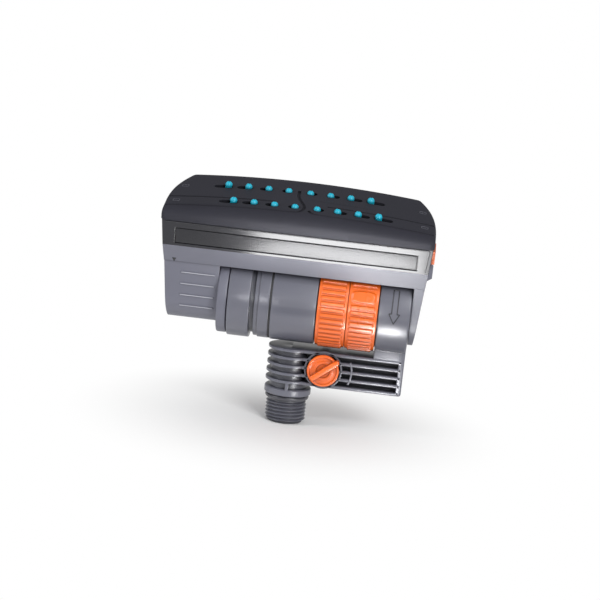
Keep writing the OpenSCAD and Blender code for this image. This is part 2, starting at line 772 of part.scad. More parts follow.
// Collar between the left leg and the drum
module pivot_collar() {
  color(mid_grey) on_head() tube_x(drum_r - 0.6, pivot_r + slide, leg_left_x, cap_x0 - free);
}
module pivot_cap() {
  x0 = pin_end_x + slide;
  color(dark) on_head() rod_x(pivot_r, x0, x0 + cap_t);
}

// Cam plate: its slanting slots lean the nozzles as it slides
module fan_plate() {
  drop_x = shell_half - end_wall - 6;
  color(white) in_head() difference() {
    union() {
      block([-fan_x, -fan_front, fan_z], [fan_x, fan_back, fan_z + fan_t]);
      block([fan_x - 1, slider_y - 1.5, fan_z], [drop_x + 2, slider_y + 1.5, fan_z + fan_t]);
      block([drop_x, slider_y - 1.5, tab_z0 + 2], [drop_x + 2, slider_y + 1.5, fan_z + fan_t]);
    }
    for (p = places) fan_slot(p[0], p[1]);
  }
}
module fan_slot(row, i) {
  run_x = side(i) * fan_lever * tan(lean(i));
  reach = norm([run_x, slider_travel]);
  r = stem_r + 0.65;
  translate([nozzle_x(row, i), row * row_y, fan_z - 1]) rotate(atan2(-slider_travel, run_x)) {
    cylinder(r = r, h = fan_t + 2, $fn = 48);
    translate([reach, 0, 0]) cylinder(r = r, h = fan_t + 2, $fn = 48);
    translate([0, -r, 0]) cube([reach, 2 * r, fan_t + 2]);
  }
}
// Thumb tab on the right end, with the stem that carries the cam plate
module width_slider() {
  face_x = shell_half - (rim_z - tab_z0 - tab_h) * tan(end_draft) + slide;
  drop_x = shell_half - end_wall - 4;
  color(orange) in_head() translate([0, slider_y, 0]) difference() {
    union() {
      block([face_x, -6, tab_z0], [face_x + 1.6, 6, tab_z0 + tab_h]);
      block([drop_x, -1.5, tab_z0 + 2], [face_x + 1, 1.5, tab_z0 + 2 + stem_h]);
    }
    for (i = [-2 : 2])
      block([face_x + 1.1, i * 2.2 - 0.5, tab_z0 - 1], [face_x + 3, i * 2.2 + 0.5, tab_z0 + tab_h + 1]);
  }
}

// Nozzle: a ball foot, a stem and a domed tip, drilled for the jet
module nozzle(row, i) {
  tip = pivot_depth;
  color(teal) in_head() translate([nozzle_x(row, i), row * row_y, pivot_z]) difference() {
    union() {
      sphere(r = ball_r, $fn = 48);
      cylinder(r = stem_r, h = tip, $fn = 48);
      translate([0, 0, tip]) sphere(r = stem_r, $fn = 48);
    }
    translate([0, 0, -far / 2]) cylinder(r = 0.5, h = far, $fn = 24);
  }
}

inlet_base();
inlet_seal();
inlet_filter();
flow_knob();
valve_plug();
valve_seal();
drive_housing();
housing_seal();
gearbox_cap();
gear_plate_left();
gear_plate_right();
gear_pins();
turbine_guide();
turbine_wheel();
turbine_shaft();
first_gear();
second_gear();
output_pinion();
output_gear();
reversing_flap();
sector_ring_left();
sector_ring_right();
head_shell();
front_insert();
nozzle_lid();
manifold();
manifold_cover();
manifold_gasket();
manifold_screws();
feed_elbow();
pivot_collar();
pivot_cap();
fan_plate();
width_slider();
nozzle(1, 1);  // nozzle_back_1
nozzle(1, 2);  // nozzle_back_2
nozzle(1, 3);  // nozzle_back_3
nozzle(1, 4);  // nozzle_back_4
nozzle(1, 5);  // nozzle_back_5
nozzle(1, 6);  // nozzle_back_6
nozzle(1, 7);  // nozzle_back_7
nozzle(1, 8);  // nozzle_back_8
nozzle(-1, 1);  // nozzle_front_1
nozzle(-1, 2);  // nozzle_front_2
nozzle(-1, 3);  // nozzle_front_3
nozzle(-1, 4);  // nozzle_front_4
nozzle(-1, 5);  // nozzle_front_5
nozzle(-1, 6);  // nozzle_front_6
nozzle(-1, 7);  // nozzle_front_7
nozzle(-1, 8);  // nozzle_front_8
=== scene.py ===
import bmesh
import bpy
import numpy as np
from mathutils import Matrix


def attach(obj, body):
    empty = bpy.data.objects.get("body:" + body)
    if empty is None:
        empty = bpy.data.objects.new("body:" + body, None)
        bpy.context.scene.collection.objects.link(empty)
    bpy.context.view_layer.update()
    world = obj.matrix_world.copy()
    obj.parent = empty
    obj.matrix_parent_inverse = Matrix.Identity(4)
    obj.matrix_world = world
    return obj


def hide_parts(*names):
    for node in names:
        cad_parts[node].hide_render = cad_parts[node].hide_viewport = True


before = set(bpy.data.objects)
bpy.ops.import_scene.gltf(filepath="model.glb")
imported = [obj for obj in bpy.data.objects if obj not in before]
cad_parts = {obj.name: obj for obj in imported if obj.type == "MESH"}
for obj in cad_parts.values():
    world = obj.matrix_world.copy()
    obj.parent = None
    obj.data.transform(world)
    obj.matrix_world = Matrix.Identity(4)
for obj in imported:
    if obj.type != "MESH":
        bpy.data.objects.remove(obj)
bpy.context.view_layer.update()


# Inlet pipe
# The lower end of the grey base moulding: a pipe thread, a collar over the rubber ring and a riser with ring
# ribs. It is ABS, injection moulded in one piece with the side arm and the water chamber. The object's sizes
# are in millimetres.
def linear(code):
    """sRGB hex to linear RGBA: below 0.04045 divide by 12.92, above it ((c + 0.055) / 1.055) ** 2.4."""
    c = np.array([int(code[i:i + 2], 16) for i in (1, 3, 5)]) / 255
    return (*np.where(c <= 0.04045, c / 12.92, ((c + 0.055) / 1.055) ** 2.4).tolist(), 1.0)


def add(tree, kind, inputs=None, **settings):
    """Adds one node, sets its properties, and sets or links its inputs by name or number."""
    made = tree.nodes.new(kind)
    for key, value in settings.items():
        setattr(made, key, value)
    for key, value in (inputs or {}).items():
        if isinstance(value, bpy.types.NodeSocket):
            tree.links.new(value, made.inputs[key])
        else:
            made.inputs[key].default_value = value
    return made


def moulded(name, low, high, rough, grain, depth, edge=0.4, specular=0.5):
    """Injection-moulded plastic. The tool's etched grain, grain wide and depth deep, is a noise bump. Slow
    flow marks move the colour between low and high and the roughness by a tenth, and edges are eased by
    edge. Narrow hollows get painted shade: there the colour is darkened by the share of the sky that they
    see."""
    ior, flow_width, hollow_width = 1.5, 25, 5
    finish = bpy.data.materials.new(name)
    finish.use_nodes = True
    tree = finish.node_tree
    shader = tree.nodes["Principled BSDF"]
    shader.inputs["IOR"].default_value = ior
    shader.inputs["Specular IOR Level"].default_value = specular
    place = add(tree, "ShaderNodeTexCoord").outputs["Object"]
    marks = add(tree, "ShaderNodeTexNoise", {"Vector": place, "Scale": 1000 / flow_width, "Detail": 3.0})
    flow = marks.outputs["Fac"]
    tint = add(tree, "ShaderNodeMix", {0: flow, 6: linear(low), 7: linear(high)}, data_type="RGBA")
    hollows = {"Color": tint.outputs[2], "Distance": hollow_width / 1000}
    # Painted shade: the occlusion node darkens the colour in hollows, creases and slots
    painted_shade = add(tree, "ShaderNodeAmbientOcclusion", hollows, samples=8).outputs["Color"]
    tree.links.new(painted_shade, shader.inputs["Base Color"])
    sheen = add(tree, "ShaderNodeMapRange", {"Value": flow, "To Min": rough * 0.9, "To Max": rough * 1.1})
    tree.links.new(sheen.outputs[0], shader.inputs["Roughness"])
    etched = add(tree, "ShaderNodeTexNoise", {"Vector": place, "Scale": 1000 / grain, "Detail": 2.0})
    edges = add(tree, "ShaderNodeBevel", {"Radius": edge / 1000}, samples=6)
    relief = {"Strength": 1.0, "Distance": depth / 1000}
    relief.update({"Height": etched.outputs["Fac"], "Normal": edges.outputs["Normal"]})
    tree.links.new(add(tree, "ShaderNodeBump", relief).outputs["Normal"], shader.inputs["Normal"])
    return finish


def eased(points, radius, steps=5):
    """Closed outline whose corners become quadratic curves. Each starts and ends radius / tan(half the
    corner's angle) from the corner, or just short of the middle of the shorter side."""
    corner = np.asarray(points, float)
    back, ahead = np.roll(corner, 1, 0) - corner, np.roll(corner, -1, 0) - corner
    back_length, ahead_length = np.linalg.norm(back, axis=1), np.linalg.norm(ahead, axis=1)
    half_angle = np.arccos(np.clip((back * ahead).sum(1) / (back_length * ahead_length), -1, 1)) / 2
    cut = np.minimum(radius / np.tan(half_angle), 0.49 * np.minimum(back_length, ahead_length))
    start = corner + back * (cut / back_length)[:, None]
    end = corner + ahead * (cut / ahead_length)[:, None]
    s = np.linspace(0, 1, steps)[None, :, None]
    bend = (1 - s) ** 2 * start[:, None] + 2 * s * (1 - s) * corner[:, None] + s ** 2 * end[:, None]
    return bend.reshape(-1, 2)


def turned(profile, centre, along, count=144):
    """A profile of (distance along the axis, radius) points carried once round the axis through centre."""
    distance, radius = np.asarray(profile, float).T[:, :, None]
    angle = np.linspace(0, 2 * np.pi, count, endpoint=False)[None]
    axial, one, two = distance + 0 * angle, radius * np.cos(angle), radius * np.sin(angle)
    order = {"x": (axial, one, two), "y": (one, axial, two), "z": (one, two, axial)}[along]
    return np.stack(order, -1) + np.asarray(centre, float)


def make(name, skins, finish, body, slot, *nodes, sharp=40):
    """Joins closed skins into one piece, which is smooth but for edges over sharp degrees. A skin is (rows
    of points round a section, loop): it ends in flat faces, or, with loop, its last row meets its first.
    Normals are turned outwards after doubles are merged."""
    merge_distance = 2e-6
    points, faces, start = [], [], 0
    for rows, loop in skins:
        length, around = rows.shape[:2]
        i, j = np.arange(length if loop else length - 1)[:, None], np.arange(around)[None]
        row, next_row, next_j = i * around, (i + 1) % length * around, (j + 1) % around
        quads = np.stack([row + j, row + next_j, next_row + next_j, next_row + j], -1)
        faces += (quads.reshape(-1, 4) + start).tolist()
        if not loop:
            end = np.arange(around) + start
            faces += [end[::-1].tolist(), (end + (length - 1) * around).tolist()]
        points.append(rows.reshape(-1, 3))
        start += length * around
    mesh = bpy.data.meshes.new(name)
    mesh.from_pydata((np.concatenate(points) / 1000).tolist(), [], faces)
    work = bmesh.new()
    work.from_mesh(mesh)
    bmesh.ops.remove_doubles(work, verts=work.verts, dist=merge_distance)
    bmesh.ops.recalc_face_normals(work, faces=work.faces)
    work.to_mesh(mesh)
    work.free()
    mesh.shade_smooth()
    mesh.set_sharp_from_angle(angle=np.radians(sharp))
    mesh.materials.append(finish)
    piece = bpy.data.objects.new(name, mesh)
    bpy.context.scene.collection.objects.link(piece)
    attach(piece, body)
    if nodes:
        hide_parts(*nodes)
    return piece


# Grey ABS from a satin tool: a soft, slightly hazy gloss with a faint cool tone
grey_abs = moulded("grey_abs", "#5f606b", "#676873", rough=0.33, grain=0.35, depth=0.004)

inlet = (0, 0, 0)
thread_r, root_r, pitch, thread_top, thread_plain, crest_flat = 10.48, 9.38, 1.814, 12.0, 0.5, 0.1
lead_length, lead_depth = 1.6, 0.3
inlet_bore, bore_bevel, inlet_edge, neck_top = 6.8, 0.4, 8.9, 14.6
# The crest is a triangle wave along the helix z / pitch - turn, a little flat at top and root. It fades in
# and out over a millimetre, and at the lower end the pipe is drawn in as a lead
z = np.linspace(0, thread_top, 140)[:, None]
turn = np.linspace(0, 1, 120, endpoint=False)[None]
wave = np.abs((z / pitch - turn) % 1 - 0.5) * 2
fade = np.clip(z - thread_plain, 0, 1) * np.clip(thread_top - thread_plain - z, 0, 1)
crest = np.clip((wave - crest_flat) / (1 - 2 * crest_flat), 0, 1) * fade
r = root_r - lead_depth * np.clip(1 - z / lead_length, 0, 1) + (thread_r - root_r) * crest
thread = np.stack([r * np.cos(2 * np.pi * turn), r * np.sin(2 * np.pi * turn), z + 0 * turn], -1)
bore = [(neck_top, inlet_bore), (bore_bevel, inlet_bore), (0, inlet_bore + bore_bevel), (0, inlet_edge)]
pipe_end = np.concatenate([turned(bore, inlet, "z", turn.size), thread,
                           turned([(neck_top, root_r)], inlet, "z", turn.size)])

collar_z, collar_top, collar_bevel, collar_edge = 14.5, 18.5, 0.6, 11.4
arm_z0, arm_z1 = 21.5, 39.84
rib_count, rib_pitch, rib_t, rib_draft, rib_r, pipe_r, axis_r = 5, 4.16, 1.7, 0.1, 12.1, 9.6, 0.01
collar = [(collar_z, inlet_bore), (collar_z, collar_edge), (collar_z + collar_bevel, rib_r),
          (collar_top - collar_bevel, rib_r), (collar_top, collar_edge), (collar_top, pipe_r)]
rib_z = arm_z0 + rib_pitch * np.arange(rib_count)
rib_edges = np.stack([rib_z, rib_z + rib_draft, rib_z + rib_t - rib_draft, rib_z + rib_t], 1)
rib_radii = np.broadcast_to([pipe_r, rib_r, rib_r, pipe_r], rib_edges.shape)
ribs = np.stack([rib_edges, rib_radii], -1).reshape(-1, 2)
# The last rib's top runs in to the axis and closes the riser
riser = eased(np.concatenate([collar, ribs[:-1], [(arm_z1, axis_r)]]), radius=0.35, steps=4)
make("inlet_pipe", [(pipe_end, True), (turned(riser, inlet, "z"), True)],
     grey_abs, "base", "body_grey", "inlet_base")


# Side arm and water chamber
# The arm carries water from the inlet to the chamber at the drum's right end. It is the same moulding as the
# pipe, cored with long slots between ribs that line up with the pipe's ring ribs, and left round about the
# flow valve.
def bar(outline, low, high, ease):
    """An (x, z) outline carried along y from low to high and drawn in by a quarter circle of radius ease at
    both ends."""
    outline = np.asarray(outline, float)
    middle, half = (outline.min(0) + outline.max(0)) / 2, (outline.max(0) - outline.min(0)) / 2
    angle = np.linspace(0, np.pi / 2, 4)
    inset, y = ease * (1 - np.sin(angle)), low + ease * (1 - np.cos(angle))
    inset, y = np.concatenate([inset, inset[::-1]]), np.concatenate([y, low + high - y[::-1]])
    xz = middle + (outline - middle) * (1 - inset[:, None] / half)[:, None]
    return np.stack([xz[..., 0], np.broadcast_to(y[:, None], xz.shape[:2]), xz[..., 1]], -1)


def rect(u0, v0, u1, v1, radius):
    """A rectangle with eased corners."""
    return eased([(u0, v0), (u1, v0), (u1, v1), (u0, v1)], radius)


axis_z, drum_r, chamber_x, arm_len, arm_y = 64.74, 22.5, 42.4, 58.6, 10.0
knob_x, knob_z = 17.6, (arm_z0 + arm_z1) / 2
web_x, web_y, web_inset, end_t = 2.0, 4.6, 0.3, 3.0
foot_z0, foot_z1, slat_inset = 38.3, 52.0, 1.4
valve_r, valve_bore, dial_r, dial_y = 9.8, 2.0, 8.75, 7.5
pin_x, pin_r, pin_bore = 61.5, 6.0, 3.0
key_half, key_z0, key_z1, key_front, key_back = 0.9, 17.7, 22.1, -12.0, -9.0
# Skins that overlap keep their faces this far apart, so that no two lie in one plane
apart = 0.06


def drum_ring(corners, count=192):
    """Corners of (x, radius, rounding), eased and carried round the drum's axis."""
    corners = np.asarray(corners, float)
    return turned(eased(corners[:, :2], corners[:, 2]), (0, 0, axis_z), "x", count)


web = rect(web_x, arm_z0 + web_inset, arm_len - 1, arm_z1 - web_inset, radius=0.5)
end_plate = rect(arm_len - end_t, arm_z0, arm_len - apart, foot_z1, radius=1.5)
chamber_foot = rect(chamber_x, foot_z0, arm_len - end_t / 2, foot_z1, radius=0.7)
slats = [rect(0, height, arm_len - slat_inset, height + rib_t, radius=0.45) for height in rib_z]
valve = [(-dial_y, valve_bore), (-dial_y, dial_r), (-arm_y, dial_r), (-arm_y, valve_r), (arm_y, valve_r),
         (arm_y, valve_bore)]
chamber = [(chamber_x, pin_bore, 0.1), (chamber_x, drum_r, 0.7), (arm_len, drum_r, 1.0),
           (arm_len, pin_r, 0.2), (pin_x, pin_r, 0.3), (pin_x, pin_bore, 0.1)]
collar_key = rect(-key_half, key_z0, key_half, key_z1, radius=0.3)
arm = [(bar(web, -web_y, web_y, ease=0.3), False),
       (bar(end_plate, -arm_y, arm_y, ease=0.5), False),
       (bar(chamber_foot, apart - arm_y, arm_y - apart, ease=0.5), False),
       (turned(eased(valve, radius=0.2), (knob_x, 0, knob_z), "y"), True),
       (drum_ring(chamber), True)]
arm += [(bar(slat, -arm_y, arm_y, ease=0.45), False) for slat in slats]
arm += [(bar(collar_key, key_front, key_back, ease=0.3), False)]
make("side_arm", arm, grey_abs, "base", "body_grey")


def bead(path, radius, wrap, closed):
    """A round bead, half sunk along a path: each ring is point + radius * (cos * side + sin * normal). Wrap
    turns the path into points and outward normals, and side is square to the normal and the path."""
    point, normal = wrap(np.asarray(path, float))
    along = np.roll(point, -1, 0) - np.roll(point, 1, 0) if closed else np.gradient(point, axis=0)
    along /= np.linalg.norm(along, axis=1)[:, None]
    side = np.cross(normal, along)
    angle = np.linspace(0, 2 * np.pi, 8, endpoint=False)[None, :, None]
    return point[:, None] + radius * (np.cos(angle) * side[:, None] + np.sin(angle) * normal[:, None])


def on_drum(path):
    """(x, degrees below the front) on the drum's surface, with its normal: y = -r cos, z = axis - r sin."""
    angle = np.radians(path[:, 1])
    normal = np.stack([0 * angle, -np.cos(angle), -np.sin(angle)], 1)
    return np.stack([path[:, 0], 0 * angle, 0 * angle + axis_z], 1) + drum_r * normal, normal


# Flow arrow on the chamber: a thin raised outline that points down. Its ABS is painted dark as shade, so
# that a line too fine to cast a shadow still reads
arrow_shade_abs = moulded("arrow_shade_abs", "#2a2a30", "#303036", rough=0.5, grain=0.4, depth=0.004)
flow_x, line_r, shaft_half, barb_half = 50.4, 0.24, 1.4, 2.7
# In degrees below the drum's front
tail, barb, tip = -36, -4, 9
arrow = np.array([(-shaft_half, tail), (shaft_half, tail), (shaft_half, barb), (barb_half, barb), (0, tip),
                  (-barb_half, barb), (-shaft_half, barb)]) + [flow_x, 0]
# Eight steps on each side follow the round of the drum
share = np.linspace(0, 1, 8, endpoint=False)[:, None]
arrow = (arrow[:, None] + (np.roll(arrow, -1, 0) - arrow)[:, None] * share).reshape(-1, 2)
make("flow_arrow", [(bead(arrow, line_r, on_drum, closed=True), True)], arrow_shade_abs, "base", "body_grey")
# Valve scale: a raised arc on the arm, right of the knob
scale_in, scale_out, scale_front, scale_back = 14.2, 15.1, -10.1, -8.5
angle = np.radians(np.linspace(-25, 22, 24))[:, None]
r = np.array([scale_in, scale_out, scale_out, scale_in])
y = np.array([scale_front, scale_front, scale_back, scale_back])
strip = np.stack([knob_x + r * np.cos(angle), y + 0 * angle, knob_z + r * np.sin(angle)], -1)
make("valve_scale", [(strip, False)], grey_abs, "base", "body_grey")


# Rubber ring under the collar
# A sealing ring of round section, moulded in rubber and stretched into the groove above the thread. This one
# has greyed in use and has a soft, damp gloss.
ring_rubber = moulded("ring_rubber", "#3b3b42", "#44444b", rough=0.36, grain=0.4, depth=0.01, edge=0.1)
seal_z, seal_r, seal_half_z, seal_half_r = 13.25, 10.35, 1.15, 1.0
angle = np.linspace(0, 2 * np.pi, 20, endpoint=False)
section = np.stack([seal_z + seal_half_z * np.sin(angle), seal_r + seal_half_r * np.cos(angle)], 1)
make("rubber_ring", [(turned(section, inlet, "z"), True)], ring_rubber, "base", "black_rubber", "inlet_seal")


# Flow knob
# A cap pushed onto the valve plug: stepped rings inside a rounded rim, and a finger bar that points at the
# scale. It is moulded in orange ABS.
knob_y, knob_turn = -10.1, np.radians(38)
# Orange ABS from a polished tool: a soft gloss, and a colour that goes right through
orange_abs = moulded("orange_abs", "#f3691f", "#f8752a", rough=0.28, grain=0.5, depth=0.003)
# The dial is (distance before the arm, radius)
dial = eased([(0, 2), (0, 8.0), (0.5, 8.2), (2.2, 8.2), (2.6, 7.8), (2.6, 7.1), (2.1, 6.9), (2.1, 5.3),
              (2.4, 5.1), (2.4, 3.6), (2.0, 3.4), (2.0, axis_r)], radius=0.18, steps=4) * [-1, 1]
nose = [(9.4, -1.0), (9.8, 0), (9.4, 1.0)]
grip = eased([(-7.3, -1.3), (7.2, -1.5), *nose, (7.2, 1.5), (-7.3, 1.3)], radius=0.5)
pointer = eased([(6.4, -1.4), *nose, (6.4, 1.4)], radius=0.4)
grip_front, grip_back, pointer_front, pointer_back = -5.6, -1.6, -5.4, -0.5
finger_bar = [bar(grip, grip_front, grip_back, ease=0.7),
              bar(pointer, pointer_front, pointer_back, ease=0.5)]
c, s = np.cos(knob_turn), np.sin(knob_turn)
tilt = np.array([[c, 0, s], [0, 1, 0], [-s, 0, c]])
knob_place = (knob_x, knob_y, knob_z)
knob = [(turned(dial, knob_place, "y"), True)]
knob += [(part @ tilt + knob_place, False) for part in finger_bar]
make("knob_dial", knob, orange_abs, "knob", "orange_plastic", "flow_knob")


# Drive drum
# Tubes of the same grey ABS across the inlet: the gearbox cap with its bands, a seam with a rubber seal, and
# the housing, whose right half is the seat of the sector rings. The cap screws onto the housing.
pivot_bore, drum_bore, seam_x0, seam_x1 = 6.05, 18.5, -12.8, -11.8
cap_x, cap_floor, cap_r, band_r, lip_r = -34.1, -31.1, 22.9, 21.6, 22.2
groove_x0, groove_x1, groove_r, band_x = -22.7, -20.6, 20.1, -18.4
seat_x, seat_r, housing_x, seam_bore, seam_r, seam_ease = 11.0, 20.4, 42.3, 19.5, 22.1, 0.05
# Each corner is (x, radius, rounding)
cap = [(cap_x, pivot_bore, 0.1), (cap_x, cap_r, 0.7), (groove_x0, cap_r, 0.6), (groove_x0, groove_r, 0.2),
       (groove_x1, groove_r, 0.2), (groove_x1, band_r, 0.4), (band_x, band_r, 0.2), (band_x, lip_r, 0.3),
       (seam_x0, lip_r, 0.35), (seam_x0, drum_bore, 0.1), (cap_floor, drum_bore, 0.1),
       (cap_floor, pivot_bore, 0.1)]
make("drum_cap", [(drum_ring(cap), True)], grey_abs, "base", "body_grey", "gearbox_cap")
housing = [(seam_x1, drum_bore, 0.1), (seam_x1, drum_r, 0.35), (seat_x, drum_r, 0.5), (seat_x, seat_r, 0.1),
           (housing_x, seat_r, 0.1), (housing_x, drum_bore, 0.1)]
make("drum_housing", [(drum_ring(housing), True)], grey_abs, "base", "body_grey", "drive_housing")
# Black rubber, as moulded: nearly matte, with a dull grey sheen at the edges
black_rubber = moulded("black_rubber", "#1b1b1d", "#232326", rough=0.55, grain=0.4,
                       depth=0.01, edge=0.1, specular=0.4)
seam = [(seam_x0, seam_bore, seam_ease), (seam_x0, seam_r, seam_ease), (seam_x1, seam_r, seam_ease),
        (seam_x1, seam_bore, seam_ease)]
make("drum_seam", [(drum_ring(seam, count=144), True)], black_rubber, "base", "black_rubber", "housing_seal")


# Sector rings
# Two orange ABS rings that snap on the housing and set how far the head swings. Moulded ribs between plain
# edges give grip, and the right ring has a smooth thumb pad a little above its middle.
ring_r, ring_crown, ring_bore = 22.35, 0.25, 20.46
edge_band, edge_ease, plain_edge, edge_fade = 2.6, 0.5, 1.3, 0.45
grip_ribs, grip_height, grip_foot, grip_flank = 48, 0.75, 0.22, 0.3
pad_height, pad_half_x, pad_half_arc, pad_rim, pad_flank = 0.85, 5.9, 2.9, 1.12, 0.24
pad_clear, pad_fade = 4.2, 0.4


def grip_ring(x0, x1, pad):
    """Radius over x and turn: a ring with eased edges + ribs * window. Ribs are waves clipped flat at top
    and foot, and the window fades them out over the plain edges. Round a pad, given in degrees above the
    front, they give way to a rounded rectangle that stands proud."""
    angle = np.linspace(0, 2 * np.pi, 960, endpoint=False)[None]
    edge_rows = np.linspace(0, edge_band, 14)
    middle_rows = np.linspace(x0 + edge_band, x1 - edge_band, 12)
    x = np.unique(np.concatenate([x0 + edge_rows, middle_rows, x1 - edge_rows]))[:, None]
    edge = np.minimum(x - x0, x1 - x)
    window = np.clip((edge - plain_edge) / edge_fade, 0, 1)
    wave = 0.5 + 0.5 * np.cos(grip_ribs * angle)
    relief = grip_height * np.clip((wave - grip_foot) / grip_flank, 0, 1) * window
    if pad is not None:
        # Distance from the pad's middle, as a superellipse over x and arc length
        arc = np.radians((np.degrees(angle) - pad + 180) % 360 - 180) * drum_r
        shape = (np.abs((x - (x0 + x1) / 2) / pad_half_x) ** 4 + np.abs(arc / pad_half_arc) ** 4) ** 0.25
        clear = np.clip((np.abs(arc) - pad_clear) / pad_fade, 0, 1)
        relief = relief * clear + pad_height * np.clip((pad_rim - shape) / pad_flank, 0, 1)
    r = ring_r + ring_crown * np.clip(edge / edge_ease, 0, 1) ** 0.5 + relief
    x = np.concatenate([x, [[x1], [x0]]])
    r = np.concatenate([r, np.full((2, angle.size), ring_bore)])
    return np.stack([x + 0 * angle, -r * np.cos(angle), axis_z + r * np.sin(angle)], -1)


for side, x0, x1, pad in (("left", 11.5, 26.6, None), ("right", 26.8, 42.0, 21.0)):
    make(f"sector_{side}", [(grip_ring(x0, x1, pad), True)],
         orange_abs, f"ring_{side}", "orange_plastic", f"sector_ring_{side}", sharp=55)


# Swinging head
# A shell of ABS with two legs, a satin front panel and a grained insert. Its left leg takes the water, the
# right leg runs on a pin. Everything here turns with the head, which leans 13 degrees at rest.
lean, slope, head_x = np.radians(13.0), np.radians(20.0), -2.0
panel_y, panel_z, sunk = -21.0, 29.9, 0.1


def about_x(points, angle):
    """Points turned about the X axis: y cos - z sin, y sin + z cos."""
    x, y, z = np.moveaxis(np.asarray(points, float), -1, 0)
    return np.stack([x, y * np.cos(angle) - z * np.sin(angle), y * np.sin(angle) + z * np.cos(angle)], -1)


def on_head(points):
    """Head coordinates, from the drum axis and the head's middle, to the part's frame: leaned about X."""
    return about_x(points, lean) + [head_x, 0, axis_z]


def dress(node, finish):
    """Gives a piece that is shown as modelled that finish alone."""
    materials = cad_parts[node].data.materials
    materials.clear()
    materials.append(finish)


# Satin ABS, matte grey on the legs. From the panel's lower edge up it is a darker, glossier shot of the same
# plastic, so height along the leaning head chooses between the two
leg_rough, panel_rough = 0.45, 0.24
panel_abs = moulded("panel_abs", "#62636f", "#6a6b78", rough=leg_rough, grain=0.7, depth=0.018)
tree = panel_abs.node_tree
shader = tree.nodes["Principled BSDF"]
leg_tint = next(n for n in tree.nodes if n.bl_idname == "ShaderNodeMix").outputs[2]
place = next(n for n in tree.nodes if n.bl_idname == "ShaderNodeTexCoord").outputs["Object"]
edge_z = (axis_z * np.cos(lean) + panel_z - sunk) / 1000
up_head = {0: place, 1: (0, -np.sin(lean), np.cos(lean))}
height = add(tree, "ShaderNodeVectorMath", up_head, operation="DOT_PRODUCT").outputs["Value"]
upper = add(tree, "ShaderNodeMath", {0: height, 1: edge_z}, operation="GREATER_THAN").outputs[0]
two_tone = add(tree, "ShaderNodeMix", {0: upper, 6: leg_tint, 7: linear("#202026")}, data_type="RGBA")
tree.links.new(two_tone.outputs[2], shader.inputs["Base Color"])
satin = add(tree, "ShaderNodeMapRange", {"Value": upper, "To Min": leg_rough, "To Max": panel_rough})
tree.links.new(satin.outputs[0], shader.inputs["Roughness"])
for node in ("head_shell", "pivot_cap"):
    dress(node, panel_abs)
# The insert's tool is spark eroded: a sparkling grain in a darker plastic, drawn coarser than it is so that
# it shows
insert_abs = moulded("insert_abs", "#1b1b20", "#232328", rough=0.31, grain=0.7, depth=0.11, specular=0.44)
insert_half, insert_z0, insert_z1, insert_front, insert_back = 60.65, 31.55, 39.15, -20.95, -20.3
plate = rect(-insert_half, insert_z0, insert_half, insert_z1, radius=0.5)
make("insert_plate", [(on_head(bar(plate, insert_front, insert_back, ease=0.3)), False)],
     insert_abs, "head", "insert_dark", "front_insert")


def on_panel(path):
    """(x, z) just under the panel's front, with its normal."""
    point = np.stack([path[:, 0], 0 * path[:, 0] + panel_y + sunk, path[:, 1]], 1)
    return on_head(point), about_x(0 * point + [0, -1, 0], lean)


# The panel's rounded upper and right edges, which catch the light
lip_z, lip_left, lip_right, lip_bead = 42.5, -66.2, 65.6, 0.45
lip = np.concatenate([np.linspace((lip_left, lip_z), (lip_right, lip_z), 60),
                      np.linspace((66.0, 42.0), (65.0, 31.0), 12)])
make("panel_lip", [(bead(lip, lip_bead, on_panel, closed=False), False)], panel_abs, "head", "head_dark")
# A small three-cornered mark on the left leg. Below the panel the skirt turns in by its slope, so the mark
# is (x, y, z) from the panel's lower edge and turned with the skirt
mark = bar(eased([(-62.0, -8.4), (-59.8, -8.4), (-60.9, -11.2)], radius=0.2), -0.04, 0.3, ease=0.02)
mark = about_x(mark, slope) + [0, panel_y, panel_z]
make("leg_mark", [(on_head(mark), False)], black_rubber, "head", "head_dark")


def leg_line(height):
    """A raised line across the left leg's front, that far above the axis."""
    half_width, left, right, front, back = 0.3, -57, -39.8, -17.0, -16.2
    outline = rect(left, height - half_width, right, height + half_width, radius=0.25)
    return bar(outline, front, back, ease=0.2)


# Four raised lines across the left leg, painted light as highlights; the lowest is on the round of the foot
painted_highlight_abs = moulded("painted_highlight_abs", "#a3a4ad", "#adaeb7", rough=0.3, grain=0.45, depth=0.004)
lines = [leg_line(height) for height in (14.0, 7.8, 1.6)] + [about_x(leg_line(0), np.radians(15.5))]
make("leg_lines", [(on_head(line), False) for line in lines], painted_highlight_abs, "head", "head_dark")
# Collar between the left leg and the gearbox cap
collar_x0, collar_x1, collar_bore, collar_r = -39.6, -34.5, 6.1, 21.9
leg_collar = [(collar_x0, collar_bore, 0.1), (collar_x0, collar_r, 0.8), (collar_x1, collar_r, 0.8),
              (collar_x1, collar_bore, 0.1)]
make("leg_collar", [(drum_ring(leg_collar), True)], panel_abs, "head", "head_dark", "pivot_collar")


# Nozzle lid
# A crowned cover of ABS with rolled edges, clipped onto the shell. The nozzles stand in slots that lengthen
# outwards, and shallow grooves frame the front row in two tongues.
rim_z, crown_z, crown_r = 43.1, 53.6, 600.0
lid_half, lid_front, lid_back, end_r, end_y = 68.5, -22.0, 28.5, 88.0, -10.0
roll_front, roll_back, roll_height, top_front, top_back = 7.5, 1.5, 0.6, 15, 26
# Finely grained ABS: matte and nearly black, with hardly a highlight
lid_abs = moulded("lid_abs", "#2d2d34", "#33333b", rough=0.6, grain=0.3, depth=0.01, specular=0.1)


def evened(points, count, closed):
    """That many points at even steps along a line or, if closed, round it."""
    points = np.concatenate([points, points[:1]]) if closed else np.asarray(points, float)
    run = np.concatenate([[0], np.cumsum(np.linalg.norm(np.diff(points, axis=0), axis=1))])
    even = np.linspace(0, run[-1], count, endpoint=not closed)
    return np.stack([np.interp(even, run, points[:, 0]), np.interp(even, run, points[:, 1])], 1)


